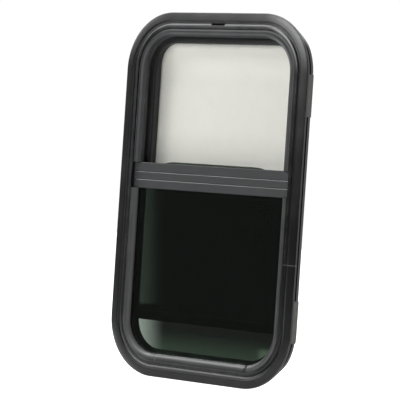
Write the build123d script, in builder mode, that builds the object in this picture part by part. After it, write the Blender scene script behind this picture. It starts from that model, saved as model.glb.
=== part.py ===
"""Caravan window with a sash that slides down behind a fixed lower pane.

Millimetres. X runs to the right and Z up as seen from outside, Y runs into the caravan.
Y = 0 is the wall skin that the flange seats on, X = Z = 0 the middle of the window.
Sections are drawn as (u, y): u is the distance inwards from the outer edge of the flange.
"""
import os
from math import degrees

from build123d import *

os.makedirs("parts", exist_ok=True)

# outline of the flange
WIDTH = 357.0
HEIGHT = 560.0
CORNER_R = 88.0

# flange, from its edge inwards
EDGE_T = 4.6
EDGE_BREAK = 0.7
LIP_W = 1.8
BAND_W = 14.6
BAND_CREST = 11.8
BAND_RISE = 1.6
BAND_BOW = 0.25
BAND_END_RISE = 0.4
GROOVE_W = 4.4
GROOVE_SIDE = 1.7
GROOVE_DEEP = 2.1
RIDGE_W = 5.0
RIDGE_CREST = 1.6
RIDGE_RISE = 1.0
RIDGE_FALL = 0.4
WEB_T = 1.6

# neck and the legs and lips that stand on its inner side
NECK_T = 2.0
WALL_T = 1.3
LEG_W = 12.8
TRACK_LIP_W = 17.8
BACK_LIP_W = 6.0

# screw race on the back of the flange
RACE_START = 14.8
RACE_RIB_T = 1.3
RACE_SLOT = 3.3
RACE_END_Y = 2.2

# glass and what beds it
GLASS_T = 3.0
PANE_Y = 1.8
PANE_EDGE_GAP = 2.5
PANE_IN_BAR = 14.0
BED_T = 0.6
BED_W = 8.0
BED_INSET = 0.7

# glazing bead below the cross bar, trim above it
BEAD_W = 11.2
BEAD_FLAT = 3.2
BEAD_RISE = 6.7
BEAD_LIP = 1.3
BEAD_JOINT_LEFT = 6.5
BEAD_JOINT_RIGHT_DEG = 6.5
BEAD_GAP = 0.5
TRIM_W = 12.6
TRIM_GAP = 0.35
TRIM_RIB_W = 3.4
TRIM_RIB_RISE = 9.4
TRIM_RIB_BREAK = 1.1
TRIM_STEP = 0.9
TRIM_FLAT_W = 4.7
TRIM_FLAT_FALL = 0.5
TRIM_EDGE_RISE = 5.9
TRIM_T = 1.2

# cross bar
BAR_BOTTOM_Z = 8.0
BAR_H = 39.5
BAR_STRIP_T = 0.5
BAR_STRIP_H = 6.4
BAR_BREAK = 0.7
BAR_END_GAP = 0.3
FLUTE_W = 1.8
FLUTE_DEEP = 0.8
FLUTES_UP = (13.2, 25.3)

# sliding sash
SEAL_H = 1.8
SEAL_W = 5.4
SEAL_BASE_T = 0.6
SEAL_INSET = 2.0
SASH_SIDE_GAP = 3.5
SASH_PEEK = 3.0
SASH_BEND_LESS = 16.0
RAIL_H = 14.0
RAIL_DROP = 2.5
RAIL_FRONT_T = 1.0
RAIL_BACK_T = 1.6
RAIL_FLOOR_T = 6.0
RAIL_RUN = 0.6
GLIDE_L = 5.2
GLIDE_GAP = 0.4
GLIDE_BREAK = 0.6
PULL_OUT = 6.0
PULL_T = 1.4
PULL_HOOK = 1.4
PULL_GAP = 8.0

# insect screen
SCREEN_T = 8.4
SCREEN_GAP = 0.4
SCREEN_EDGE_GAP = 1.0
SCREEN_BAR_W = 21.0
SCREEN_BEND_LESS = 9.5
SCREEN_OVER_BAR = 0.5
SPLINE_W = 3.4
SPLINE_IN = 3.0
SPLINE_DEEP = 3.0
SPLINE_PROUD = 0.3
MESH_T = 0.4
MESH_LAP = 2.0
MESH_COLUMNS = 9
MESH_ROWS = 6
MESH_HOLE = 15.0

# clamp ring behind the flange, and the spacers beside it
WALL_SLOT = 3.8
RING_INSET = 0.7
RING_DEEP = 6.2
RING_CORNER_R = 98.0
RING_T = 1.6
RING_GAP = 0.5
RING_BREAK = 0.8
RING_INNER_STEP = 0.8
SPACER_L = 62.5
SPACER_UPPER_PAST = -0.8
SPACER_LOWER_PAST = 12.9
SPACER_NOTCH = 0.4
SPACER_END_GAP = 0.2

# places round the frame
SEAM_Z = -90.4
SEAM_W = 0.7
SEAM_DEEP = 0.6
WEEP_L = 27.0

# worked out from the sizes above
HALF_W = WIDTH / 2
HALF_H = HEIGHT / 2
BEND_X = HALF_W - CORNER_R
BEND_Z = HALF_H - CORNER_R
REBATE_U = BAND_W + GROOVE_W + RIDGE_W
NECK_U = REBATE_U - NECK_T
LEG_U = REBATE_U + LEG_W
TRACK_LIP_U = REBATE_U + TRACK_LIP_W
BACK_LIP_U = REBATE_U + BACK_LIP_W
CREST_Y = -EDGE_T - BAND_RISE
BAND_END_Y = -EDGE_T - BAND_END_RISE
GROOVE_Y = BAND_END_Y + GROOVE_DEEP
RIDGE_Y = -EDGE_T - RIDGE_RISE
RACE_ROOT_Y = GROOVE_Y + WEB_T
BED_Y = PANE_Y + GLASS_T
LEG_Y = BED_Y + BED_T
LEG_BACK_Y = LEG_Y + WALL_T
SASH_Y = LEG_BACK_Y + SEAL_H
SASH_BACK_Y = SASH_Y + GLASS_T
RAIL_BACK_Y = SASH_BACK_Y + RAIL_BACK_T
TRACK_LIP_Y = RAIL_BACK_Y + RAIL_RUN
SCREEN_Y = TRACK_LIP_Y + WALL_T + SCREEN_GAP
SCREEN_BACK_Y = SCREEN_Y + SCREEN_T
BACK_LIP_Y = SCREEN_BACK_Y + MESH_T
PANE_EDGE_U = REBATE_U + PANE_EDGE_GAP
BAR_TOP_Z = BAR_BOTTOM_Z + BAR_H
PANE_TOP_Z = BAR_BOTTOM_Z + PANE_IN_BAR
RAIL_BOTTOM_Z = -BEND_Z - RAIL_DROP
RAIL_TOP_Z = RAIL_BOTTOM_Z + RAIL_H
TRACK_HALF_W = HALF_W - REBATE_U
RAIL_HALF_L = TRACK_HALF_W - GLIDE_GAP - GLIDE_L
RING_BACK_Y = WALL_SLOT + RING_DEEP


def side_run(draw, side, start, end, mode=Mode.ADD):
    """Length of a section along one side, between two coordinates of that side."""
    lo, hi = min(start, end), max(start, end)
    plane = {
        "left": Plane((-HALF_W, 0, lo), x_dir=(1, 0, 0), z_dir=(0, 0, 1)),
        "top": Plane((lo, 0, HALF_H), x_dir=(0, 0, -1), z_dir=(1, 0, 0)),
        "right": Plane((HALF_W, 0, hi), x_dir=(-1, 0, 0), z_dir=(0, 0, -1)),
        "bottom": Plane((hi, 0, -HALF_H), x_dir=(0, 0, 1), z_dir=(-1, 0, 0)),
    }[side]
    with BuildSketch(plane) as face:
        with BuildLine():
            draw()
        make_face()
    extrude(face.sketch, amount=hi - lo, mode=mode)


def bend_run(draw, corner, start=0.0, arc=90.0, mode=Mode.ADD):
    """Bend of a section round one corner, clockwise as seen from outside, in degrees."""
    x, z, first = {
        "bottom_left": (-BEND_X, -BEND_Z, 0.0),
        "top_left": (-BEND_X, BEND_Z, 90.0),
        "top_right": (BEND_X, BEND_Z, 180.0),
        "bottom_right": (BEND_X, -BEND_Z, 270.0),
    }[corner]
    inward = Vector(0, 0, 1).rotate(Axis.Y, first + start)
    along = Vector(-1, 0, 0).rotate(Axis.Y, first + start)
    centre = Vector(x, 0, z)
    with BuildSketch(Plane(centre - inward * CORNER_R, x_dir=inward, z_dir=along)) as face:
        with BuildLine():
            draw()
        make_face()
    revolve(face.sketch, axis=Axis(centre, (0, 1, 0)), revolution_arc=arc, mode=mode)


def full_ring(draw):
    """Section bent once round the whole window."""
    for side, reach in (("left", BEND_Z), ("top", BEND_X), ("right", BEND_Z), ("bottom", BEND_X)):
        side_run(draw, side, -reach, reach)
    for corner in ("bottom_left", "top_left", "top_right", "bottom_right"):
        bend_run(draw, corner)


def bar_run(points, half_l):
    """Length of a section in depth and height, centred across the window."""
    with BuildSketch(Plane.YZ.offset(-half_l)) as face:
        with BuildLine():
            Polyline(*points, close=True)
        make_face()
    extrude(face.sketch, amount=2 * half_l)


def upright_run(points, hand, z_low, z_high):
    """Upright length of a section in width and depth, on the right or, at -1, the left."""
    with BuildSketch(Plane.XY.offset(z_low)) as face:
        with BuildLine():
            Polyline(*[(hand * x, y) for x, y in points], close=True)
        make_face()
    extrude(face.sketch, amount=z_high - z_low)


def depth_plane(y):
    """Plane facing outwards at depth y, with X and Z as its own axes."""
    return Plane((0, y, 0), x_dir=(1, 0, 0), z_dir=(0, -1, 0))


def panel_outline(half_w, z_low, z_high, low_r=0.0, high_r=0.0, mode=Mode.ADD):
    """Upright panel outline whose lower or upper corners may be round."""
    with BuildLine() as edge:
        Line((-half_w, z_low + low_r), (-half_w, z_high - high_r))
        if high_r:
            RadiusArc((-half_w, z_high - high_r), (-half_w + high_r, z_high), high_r)
        Line((-half_w + high_r, z_high), (half_w - high_r, z_high))
        if high_r:
            RadiusArc((half_w - high_r, z_high), (half_w, z_high - high_r), high_r)
        Line((half_w, z_high - high_r), (half_w, z_low + low_r))
        if low_r:
            RadiusArc((half_w, z_low + low_r), (half_w - low_r, z_low), low_r)
        Line((half_w - low_r, z_low), (-half_w + low_r, z_low))
        if low_r:
            RadiusArc((-half_w + low_r, z_low), (-half_w, z_low + low_r), low_r)
    make_face(edge.edges(), mode=mode)


def lower_outline(inset, z_high, mode=Mode.ADD):
    """Outline of the lower half, moved inwards by inset and cut off at z_high."""
    panel_outline(HALF_W - inset, -HALF_H + inset, z_high, low_r=CORNER_R - inset, mode=mode)


def screen_outline(inset, mode=Mode.ADD, bend_less=SCREEN_BEND_LESS):
    """Outline of the insect screen, moved inwards by inset, its bends tighter by bend_less."""
    edge = REBATE_U + SCREEN_EDGE_GAP
    bottom = BAR_TOP_Z + SCREEN_OVER_BAR - SCREEN_BAR_W
    panel_outline(HALF_W - edge - inset, bottom + inset, HALF_H - edge - inset,
                  high_r=CORNER_R - edge - inset - bend_less, mode=mode)


def frame_section():
    """Flange, neck, glazing leg, track lip, back lip and screw race in one extrusion."""
    groove_end = BAND_W + GROOVE_W
    race = []
    for near in (RACE_START, RACE_START + RACE_RIB_T + RACE_SLOT):
        far = near + RACE_RIB_T
        race = [(far, RACE_ROOT_Y), (far, RACE_END_Y), (near, RACE_END_Y), (near, RACE_ROOT_Y)] + race
    bow = ((EDGE_BREAK + BAND_CREST) / 2, (CREST_Y - EDGE_T) / 2 - BAND_BOW)
    ThreePointArc((EDGE_BREAK, -EDGE_T), bow, (BAND_CREST, CREST_Y))
    Polyline(
        (BAND_CREST, CREST_Y), (BAND_W, BAND_END_Y), (BAND_W + GROOVE_SIDE, GROOVE_Y),
        (groove_end - GROOVE_SIDE, GROOVE_Y), (groove_end, RIDGE_Y + RIDGE_FALL),
        (groove_end + RIDGE_CREST, RIDGE_Y), (REBATE_U - EDGE_BREAK, RIDGE_Y + RIDGE_FALL),
        (REBATE_U, RIDGE_Y + RIDGE_FALL + EDGE_BREAK), (REBATE_U, LEG_Y), (LEG_U, LEG_Y),
        (LEG_U, LEG_BACK_Y), (REBATE_U, LEG_BACK_Y), (REBATE_U, TRACK_LIP_Y),
        (TRACK_LIP_U, TRACK_LIP_Y), (TRACK_LIP_U, TRACK_LIP_Y + WALL_T),
        (REBATE_U, TRACK_LIP_Y + WALL_T), (REBATE_U, BACK_LIP_Y), (BACK_LIP_U, BACK_LIP_Y),
        (BACK_LIP_U, BACK_LIP_Y + WALL_T), (NECK_U, BACK_LIP_Y + WALL_T), (NECK_U, RACE_ROOT_Y), *race,
        (BAND_W - WEB_T, RACE_ROOT_Y), (BAND_CREST, CREST_Y + WEB_T), (LIP_W, -EDGE_T + WEB_T), (LIP_W, 0),
        (0, 0), (0, -EDGE_T + EDGE_BREAK), (EDGE_BREAK, -EDGE_T),
    )


def ring_outline(inset, radius, mode=Mode.ADD):
    """Outline of the clamp ring, inset from the flange's edge, with one radius at all corners."""
    panel_outline(HALF_W - inset, -HALF_H + inset, HALF_H - inset, low_r=radius, high_r=radius, mode=mode)


def ring_wall(y_high, y_low, inset, radius, width):
    """Wall of the clamp ring between two depths, of a given width inwards from its outline."""
    with BuildSketch(depth_plane(y_high)) as face:
        ring_outline(inset, radius)
        ring_outline(inset + width, radius - width, Mode.SUBTRACT)
    extrude(face.sketch, amount=y_high - y_low)


def bead_section():
    """Glazing bead: flat beside the flange, then rolling down to the face of the pane."""
    top = PANE_Y - BEAD_RISE
    inner = REBATE_U + BEAD_W
    knee = ((inner + REBATE_U + BEAD_FLAT) / 2 + BEAD_LIP, (PANE_Y - BEAD_LIP + top) / 2 - BEAD_LIP / 2)
    Polyline((inner, PANE_Y - BEAD_LIP), (inner, PANE_Y), (REBATE_U, PANE_Y), (REBATE_U, top + EDGE_BREAK),
             (REBATE_U + EDGE_BREAK, top), (REBATE_U + BEAD_FLAT, top))
    ThreePointArc((REBATE_U + BEAD_FLAT, top), knee, (inner, PANE_Y - BEAD_LIP))


def trim_section():
    """Trim that closes the empty glazing rebate above the cross bar: rib, step, flat, sloping edge."""
    near = REBATE_U + TRIM_GAP
    rib = LEG_Y - TRIM_RIB_RISE
    rib_end = REBATE_U + TRIM_RIB_W
    flat = rib + TRIM_STEP
    knee = rib_end + TRIM_FLAT_W
    knee_y = flat + TRIM_FLAT_FALL
    inner = REBATE_U + TRIM_W
    edge = LEG_Y - TRIM_EDGE_RISE
    Polyline((near, LEG_Y), (near, rib + TRIM_RIB_BREAK), (near + TRIM_RIB_BREAK, rib),
             (rib_end - TRIM_RIB_BREAK, rib), (rib_end, flat), (knee, knee_y), (inner, edge),
             (inner, LEG_Y), (inner - TRIM_T, LEG_Y), (inner - TRIM_T, edge + TRIM_T),
             (knee, knee_y + TRIM_T), (rib_end, flat + TRIM_T), (near + TRIM_T, flat + TRIM_T),
             (near + TRIM_T, LEG_Y), close=True)


def edge_strip(depth, y_low, y_high):
    """Drawing of a flat strip that lies in the edge, depth thick."""
    return lambda: Polyline((0, y_low), (depth, y_low), (depth, y_high), (0, y_high), close=True)


SPACER_ENDS = {
    ("right", "upper"): ("top_right", SPACER_UPPER_PAST, False),
    ("right", "lower"): ("bottom_right", SPACER_LOWER_PAST, True),
    ("left", "upper"): ("top_left", SPACER_UPPER_PAST, True),
    ("left", "lower"): ("bottom_left", SPACER_LOWER_PAST, False),
}


def spacer_run(draw, side, level, longer=0.0, mode=Mode.ADD):
    """Strip along one side that ends short of the bend or a little past its start, longer at both ends."""
    corner, past, at_start = SPACER_ENDS[side, level]
    past += longer
    near = BEND_Z + past - SPACER_L - 2 * longer
    far = BEND_Z + min(past, 0)
    sign = 1 if level == "upper" else -1
    side_run(draw, side, sign * near, sign * far, mode)
    if past > 0:
        arc = degrees(past / CORNER_R)
        bend_run(draw, corner, 0.0 if at_start else 90.0 - arc, arc, mode)


# frame: one bent extrusion, butt-jointed on the right side, with a weep slot at the top
with BuildPart() as outer_frame:
    full_ring(frame_section)
    with Locations((0, GROOVE_Y, HALF_H - RACE_START - RACE_RIB_T - RACE_SLOT / 2)):
        Box(WEEP_L, 4 * WEB_T, RACE_SLOT, mode=Mode.SUBTRACT)
    seam_front = -EDGE_T + SEAM_DEEP
    seam_end = REBATE_U + SEAM_DEEP
    side_run(lambda: Polyline((-SEAM_DEEP, 0), (-SEAM_DEEP, 2 * CREST_Y), (seam_end, 2 * CREST_Y),
                              (seam_end, seam_front), (BAND_W, seam_front),
                              (BAND_CREST, CREST_Y + SEAM_DEEP), (SEAM_DEEP, seam_front), (SEAM_DEEP, 0),
                              close=True),
             "right", SEAM_Z - SEAM_W / 2, SEAM_Z + SEAM_W / 2, Mode.SUBTRACT)
    for side, level in SPACER_ENDS:
        spacer_run(edge_strip(RING_INSET + SPACER_END_GAP, -SPACER_NOTCH, SPACER_NOTCH), side, level,
                   SPACER_END_GAP, Mode.SUBTRACT)
outer_frame.part.label = "outer frame"
export_step(outer_frame.part, "parts/outer_frame.step")

# clamp ring: a flat face with lips turned to the wall at both edges, rounder than the flange at its corners
ring_inner = NECK_U - RING_GAP
ring_inner_r = CORNER_R - ring_inner
ring_face_y = RING_BACK_Y - RING_T
with BuildPart() as clamp_ring:
    with BuildSketch(depth_plane(RING_BACK_Y)) as ring_face:
        ring_outline(RING_INSET, RING_CORNER_R)
        ring_outline(ring_inner, ring_inner_r, Mode.SUBTRACT)
    extrude(ring_face.sketch, amount=RING_T)
    chamfer(clamp_ring.faces().sort_by(Axis.Y)[-1].outer_wire().edges(), length=RING_BREAK)
    ring_wall(ring_face_y, WALL_SLOT, RING_INSET, RING_CORNER_R, LIP_W)
    ring_wall(ring_face_y, WALL_SLOT + RING_INNER_STEP, ring_inner - RING_T, ring_inner_r + RING_T, RING_T)
clamp_ring.part.label = "clamp ring"
export_step(clamp_ring.part, "parts/clamp_ring.step")

# spacers that hold the ring off the flange, flush with the flange's edge
for side, level in SPACER_ENDS:
    with BuildPart() as ring_spacer:
        spacer_run(edge_strip(RING_INSET, -SPACER_NOTCH, RING_BACK_Y), side, level)
    ring_spacer.part.label = f"ring spacer, {side} {level}"
    export_step(ring_spacer.part, f"parts/ring_spacer_{side}_{level}.step")

# fixed lower pane on its bedding strip, held by the bead in three lengths
with BuildPart() as fixed_pane:
    with BuildSketch(depth_plane(BED_Y)):
        lower_outline(PANE_EDGE_U, PANE_TOP_Z)
    extrude(amount=GLASS_T)
fixed_pane.part.label = "fixed pane"
export_step(fixed_pane.part, "parts/fixed_pane.step")

with BuildPart() as bedding_strip:
    with BuildSketch(depth_plane(LEG_Y)):
        lower_outline(LEG_U - BED_INSET - BED_W, PANE_TOP_Z)
        lower_outline(LEG_U - BED_INSET, PANE_TOP_Z - BED_W, Mode.SUBTRACT)
    extrude(amount=BED_T)
bedding_strip.part.label = "bedding strip"
export_step(bedding_strip.part, "parts/bedding_strip.step")

with BuildPart() as bead_left:
    side_run(bead_section, "left", -BEND_Z, BAR_BOTTOM_Z)
    bend_run(bead_section, "bottom_left")
    side_run(bead_section, "bottom", -BEND_X, -BEND_X + BEAD_JOINT_LEFT)
bead_left.part.label = "glazing bead, left"
export_step(bead_left.part, "parts/bead_left.step")

with BuildPart() as bead_bottom:
    side_run(bead_section, "bottom", -BEND_X + BEAD_JOINT_LEFT + BEAD_GAP, BEND_X)
    bend_run(bead_section, "bottom_right", 90 - BEAD_JOINT_RIGHT_DEG, BEAD_JOINT_RIGHT_DEG)
bead_bottom.part.label = "glazing bead, bottom"
export_step(bead_bottom.part, "parts/bead_bottom.step")

with BuildPart() as bead_right:
    side_run(bead_section, "right", -BEND_Z, BAR_BOTTOM_Z)
    bend_run(bead_section, "bottom_right", 0, 90 - BEAD_JOINT_RIGHT_DEG - 2 * BEAD_GAP)
bead_right.part.label = "glazing bead, right"
export_step(bead_right.part, "parts/bead_right.step")

# trim in the rebate of the upper half, one bent length
with BuildPart() as rebate_trim:
    side_run(trim_section, "left", BAR_TOP_Z, BEND_Z)
    bend_run(trim_section, "top_left")
    side_run(trim_section, "top", -BEND_X, BEND_X)
    bend_run(trim_section, "top_right")
    side_run(trim_section, "right", BAR_TOP_Z, BEND_Z)
rebate_trim.part.label = "rebate trim"
export_step(rebate_trim.part, "parts/rebate_trim.step")

# cross bar: fluted plate with a channel for the top edge of the fixed pane
bar_back_y = PANE_Y - BAR_STRIP_T
bar_front_y = bar_back_y - WALL_T
with BuildPart() as cross_bar:
    flutes = []
    for up in FLUTES_UP:
        z = BAR_BOTTOM_Z + up
        flutes += [(bar_front_y, z - FLUTE_W / 2), (bar_front_y + FLUTE_DEEP, z + FLUTE_W / 4),
                   (bar_front_y, z + FLUTE_W / 2)]
    bar_run([(bar_back_y, BAR_BOTTOM_Z), (bar_front_y + BAR_BREAK, BAR_BOTTOM_Z),
             (bar_front_y, BAR_BOTTOM_Z + BAR_BREAK), *flutes, (bar_front_y, BAR_TOP_Z - BAR_BREAK),
             (bar_front_y + BAR_BREAK, BAR_TOP_Z), (LEG_Y, BAR_TOP_Z), (LEG_Y, BAR_TOP_Z - WALL_T),
             (bar_back_y, BAR_TOP_Z - WALL_T), (bar_back_y, PANE_TOP_Z + 2 * WALL_T),
             (LEG_Y, PANE_TOP_Z + 2 * WALL_T), (LEG_Y, PANE_TOP_Z + WALL_T),
             (bar_back_y, PANE_TOP_Z + WALL_T)],
            TRACK_HALF_W - BAR_END_GAP)
    bar_run([(LEG_Y, PANE_TOP_Z - BED_W), (LEG_BACK_Y, PANE_TOP_Z - BED_W), (LEG_BACK_Y, BAR_TOP_Z),
             (LEG_Y, BAR_TOP_Z)], HALF_W - LEG_U - BAR_END_GAP)
cross_bar.part.label = "cross bar"
export_step(cross_bar.part, "parts/cross_bar.step")

with BuildPart() as bar_glazing_strip:
    strip_z = BAR_BOTTOM_Z + BAR_BREAK
    bar_run([(bar_back_y, strip_z), (PANE_Y, strip_z), (PANE_Y, strip_z + BAR_STRIP_H),
             (bar_back_y, strip_z + BAR_STRIP_H)], HALF_W - PANE_EDGE_U)
bar_glazing_strip.part.label = "glazing strip behind the cross bar"
export_step(bar_glazing_strip.part, "parts/bar_glazing_strip.step")

# sliding sash: pane, bottom rail with a finger pull, end glides
with BuildPart() as sash_pane:
    with BuildSketch(depth_plane(SASH_BACK_Y)):
        panel_outline(RAIL_HALF_L, RAIL_BOTTOM_Z + RAIL_FLOOR_T, RAIL_TOP_Z + GLIDE_L)
        panel_outline(TRACK_HALF_W - SASH_SIDE_GAP, RAIL_TOP_Z + GLIDE_GAP, BAR_TOP_Z + SASH_PEEK,
                      high_r=CORNER_R - SASH_BEND_LESS)
    extrude(amount=GLASS_T)
sash_pane.part.label = "sash pane"
export_step(sash_pane.part, "parts/sash_pane.step")

with BuildPart() as sash_rail:
    rail_front_y = SASH_Y - RAIL_FRONT_T
    slot_z = RAIL_BOTTOM_Z + RAIL_FLOOR_T
    bar_run([(rail_front_y, RAIL_BOTTOM_Z), (RAIL_BACK_Y, RAIL_BOTTOM_Z), (RAIL_BACK_Y, RAIL_TOP_Z),
             (SASH_BACK_Y, RAIL_TOP_Z), (SASH_BACK_Y, slot_z), (SASH_Y, slot_z), (SASH_Y, RAIL_TOP_Z),
             (rail_front_y, RAIL_TOP_Z)], RAIL_HALF_L)
    pull_y = RAIL_BACK_Y + PULL_OUT
    bar_run([(RAIL_BACK_Y, RAIL_TOP_Z - PULL_T), (pull_y, RAIL_TOP_Z - PULL_T),
             (pull_y, RAIL_TOP_Z + PULL_HOOK), (pull_y - PULL_T, RAIL_TOP_Z + PULL_HOOK),
             (pull_y - PULL_T, RAIL_TOP_Z), (RAIL_BACK_Y, RAIL_TOP_Z)],
            HALF_W - TRACK_LIP_U - PULL_GAP)
sash_rail.part.label = "sash bottom rail"
export_step(sash_rail.part, "parts/sash_rail.step")

GLIDE_SECTION = [
    (RAIL_HALF_L, rail_front_y), (RAIL_HALF_L + GLIDE_L - GLIDE_BREAK, rail_front_y),
    (RAIL_HALF_L + GLIDE_L, rail_front_y + GLIDE_BREAK), (RAIL_HALF_L + GLIDE_L, RAIL_BACK_Y - GLIDE_BREAK),
    (RAIL_HALF_L + GLIDE_L - GLIDE_BREAK, RAIL_BACK_Y), (RAIL_HALF_L, RAIL_BACK_Y),
]
with BuildPart() as sash_glide_left:
    upright_run(GLIDE_SECTION, -1, RAIL_BOTTOM_Z, RAIL_TOP_Z)
sash_glide_left.part.label = "sash glide, left"
export_step(sash_glide_left.part, "parts/sash_glide_left.step")

with BuildPart() as sash_glide_right:
    upright_run(GLIDE_SECTION, 1, RAIL_BOTTOM_Z, RAIL_TOP_Z)
sash_glide_right.part.label = "sash glide, right"
export_step(sash_glide_right.part, "parts/sash_glide_right.step")

# pile strips on the backs of the glazing legs and of the cross bar, brushing the sash pane
seal_near = HALF_W - LEG_U + SEAL_INSET
SEAL_SECTION = [
    (seal_near, LEG_BACK_Y), (seal_near + SEAL_W, LEG_BACK_Y),
    (seal_near + SEAL_W, LEG_BACK_Y + SEAL_BASE_T), (seal_near + SEAL_W * 3 / 4, SASH_Y),
    (seal_near + SEAL_W / 4, SASH_Y), (seal_near, LEG_BACK_Y + SEAL_BASE_T),
]
with BuildPart() as track_seal_left:
    upright_run(SEAL_SECTION, -1, RAIL_TOP_Z + GLIDE_L, BEND_Z)
track_seal_left.part.label = "track seal, left"
export_step(track_seal_left.part, "parts/track_seal_left.step")

with BuildPart() as track_seal_right:
    upright_run(SEAL_SECTION, 1, RAIL_TOP_Z + GLIDE_L, BEND_Z)
track_seal_right.part.label = "track seal, right"
export_step(track_seal_right.part, "parts/track_seal_right.step")

with BuildPart() as bar_seal:
    low = BAR_TOP_Z - 2 * SEAL_W
    bar_run([(LEG_BACK_Y, low), (LEG_BACK_Y + SEAL_BASE_T, low), (SASH_Y, low + SEAL_W / 4),
             (SASH_Y, low + SEAL_W * 3 / 4), (LEG_BACK_Y + SEAL_BASE_T, low + SEAL_W),
             (LEG_BACK_Y, low + SEAL_W)],
            HALF_W - LEG_U - SEAL_INSET)
bar_seal.part.label = "cross bar seal"
export_step(bar_seal.part, "parts/bar_seal.step")

# insect screen: straight bars and a bent top, mesh on their inner face, spline in a groove
screen_sill_z = BAR_TOP_Z + SCREEN_OVER_BAR


def screen_bar(z_low, z_high, x_low=-HALF_W, x_high=HALF_W):
    """Part of the grooved screen frame that lies between two heights and two widths."""
    with BuildSketch(depth_plane(SCREEN_BACK_Y)) as face:
        screen_outline(0, bend_less=0)
        screen_outline(SCREEN_BAR_W, Mode.SUBTRACT)
    extrude(face.sketch, amount=SCREEN_T)
    with BuildSketch(depth_plane(SCREEN_BACK_Y)) as groove:
        screen_outline(SCREEN_BAR_W - SPLINE_IN - SPLINE_W)
        screen_outline(SCREEN_BAR_W - SPLINE_IN, Mode.SUBTRACT)
    extrude(groove.sketch, amount=SPLINE_DEEP, mode=Mode.SUBTRACT)
    with Locations(((x_low + x_high) / 2, SCREEN_Y + SCREEN_T / 2, (z_low + z_high) / 2)):
        Box(x_high - x_low, 2 * SCREEN_T, z_high - z_low, mode=Mode.INTERSECT)


with BuildPart() as screen_bottom_bar:
    screen_bar(screen_sill_z - SCREEN_BAR_W, screen_sill_z)
screen_bottom_bar.part.label = "screen bottom bar"
export_step(screen_bottom_bar.part, "parts/screen_bottom_bar.step")

with BuildPart() as screen_side_left:
    screen_bar(screen_sill_z, BEND_Z, x_high=0)
screen_side_left.part.label = "screen side bar, left"
export_step(screen_side_left.part, "parts/screen_side_left.step")

with BuildPart() as screen_side_right:
    screen_bar(screen_sill_z, BEND_Z, x_low=0)
screen_side_right.part.label = "screen side bar, right"
export_step(screen_side_right.part, "parts/screen_side_right.step")

with BuildPart() as screen_top_bow:
    screen_bar(BEND_Z, HALF_H)
screen_top_bow.part.label = "screen top bow"
export_step(screen_top_bow.part, "parts/screen_top_bow.step")

with BuildPart() as screen_spline:
    with BuildSketch(depth_plane(SCREEN_BACK_Y + SPLINE_PROUD)):
        screen_outline(SCREEN_BAR_W - SPLINE_IN - SPLINE_W)
        screen_outline(SCREEN_BAR_W - SPLINE_IN, Mode.SUBTRACT)
    extrude(amount=SPLINE_DEEP + SPLINE_PROUD)
screen_spline.part.label = "screen spline"
export_step(screen_spline.part, "parts/screen_spline.step")

# a coarse grid of openings stands for the weave
mesh_inset = REBATE_U + SCREEN_EDGE_GAP + SCREEN_BAR_W
mesh_pitch_x = 2 * (HALF_W - mesh_inset) / MESH_COLUMNS
mesh_pitch_z = (HALF_H - mesh_inset - screen_sill_z) / MESH_ROWS
with BuildPart() as screen_mesh:
    with BuildSketch(depth_plane(SCREEN_BACK_Y + MESH_T)) as openings:
        with Locations((0, screen_sill_z + mesh_pitch_z * MESH_ROWS / 2)):
            with GridLocations(mesh_pitch_x, mesh_pitch_z, MESH_COLUMNS, MESH_ROWS):
                Rectangle(MESH_HOLE, MESH_HOLE)
        screen_outline(SCREEN_BAR_W, Mode.INTERSECT)
    with BuildSketch(depth_plane(SCREEN_BACK_Y + MESH_T)) as sheet:
        screen_outline(SCREEN_BAR_W - MESH_LAP)
        add(openings.sketch, mode=Mode.SUBTRACT)
    extrude(sheet.sketch, amount=MESH_T)
screen_mesh.part.label = "screen mesh"
export_step(screen_mesh.part, "parts/screen_mesh.step")
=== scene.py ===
"""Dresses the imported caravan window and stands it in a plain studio.

The CAD nodes keep their shapes and get their finishes here. Three things are modelled in Blender: the woven
insect screen, which stands for the CAD sheet, the clamp ring with its bends brought out beside the flange's,
and the screws that pull that ring to the frame.
Lengths are in metres, in the part's own frame: X to the right, Y into the caravan, Z up. Insets from the
flange's outline are in millimetres.
"""

import functools
import logging
import math
from dataclasses import dataclass
from enum import Enum
from typing import Any, Dict, Optional, Sequence, Tuple, Union

import bpy
from bpy.types import Material, Node, NodeSocket, NodeTree, Object
from mathutils import Matrix, Vector


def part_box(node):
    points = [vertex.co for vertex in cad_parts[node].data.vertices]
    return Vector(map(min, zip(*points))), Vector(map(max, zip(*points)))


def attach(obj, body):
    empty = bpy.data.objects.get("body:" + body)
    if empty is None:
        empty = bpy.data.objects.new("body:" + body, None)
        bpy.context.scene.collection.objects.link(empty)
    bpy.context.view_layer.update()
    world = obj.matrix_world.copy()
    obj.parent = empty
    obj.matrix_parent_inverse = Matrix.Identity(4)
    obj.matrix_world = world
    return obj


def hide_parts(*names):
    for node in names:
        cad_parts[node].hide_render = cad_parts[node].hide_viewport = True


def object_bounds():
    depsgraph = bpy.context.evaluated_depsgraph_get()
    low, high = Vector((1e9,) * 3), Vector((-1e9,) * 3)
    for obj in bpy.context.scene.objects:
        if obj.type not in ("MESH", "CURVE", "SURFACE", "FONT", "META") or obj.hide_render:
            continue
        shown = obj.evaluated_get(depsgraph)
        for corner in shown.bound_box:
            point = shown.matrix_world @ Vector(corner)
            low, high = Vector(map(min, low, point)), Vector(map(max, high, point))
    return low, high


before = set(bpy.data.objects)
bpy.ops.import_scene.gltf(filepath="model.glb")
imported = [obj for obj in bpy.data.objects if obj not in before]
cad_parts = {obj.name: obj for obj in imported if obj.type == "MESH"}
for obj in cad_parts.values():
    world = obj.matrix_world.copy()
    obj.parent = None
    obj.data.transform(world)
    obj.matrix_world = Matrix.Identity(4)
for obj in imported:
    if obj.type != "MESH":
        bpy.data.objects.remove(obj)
CAD_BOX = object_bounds()

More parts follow.
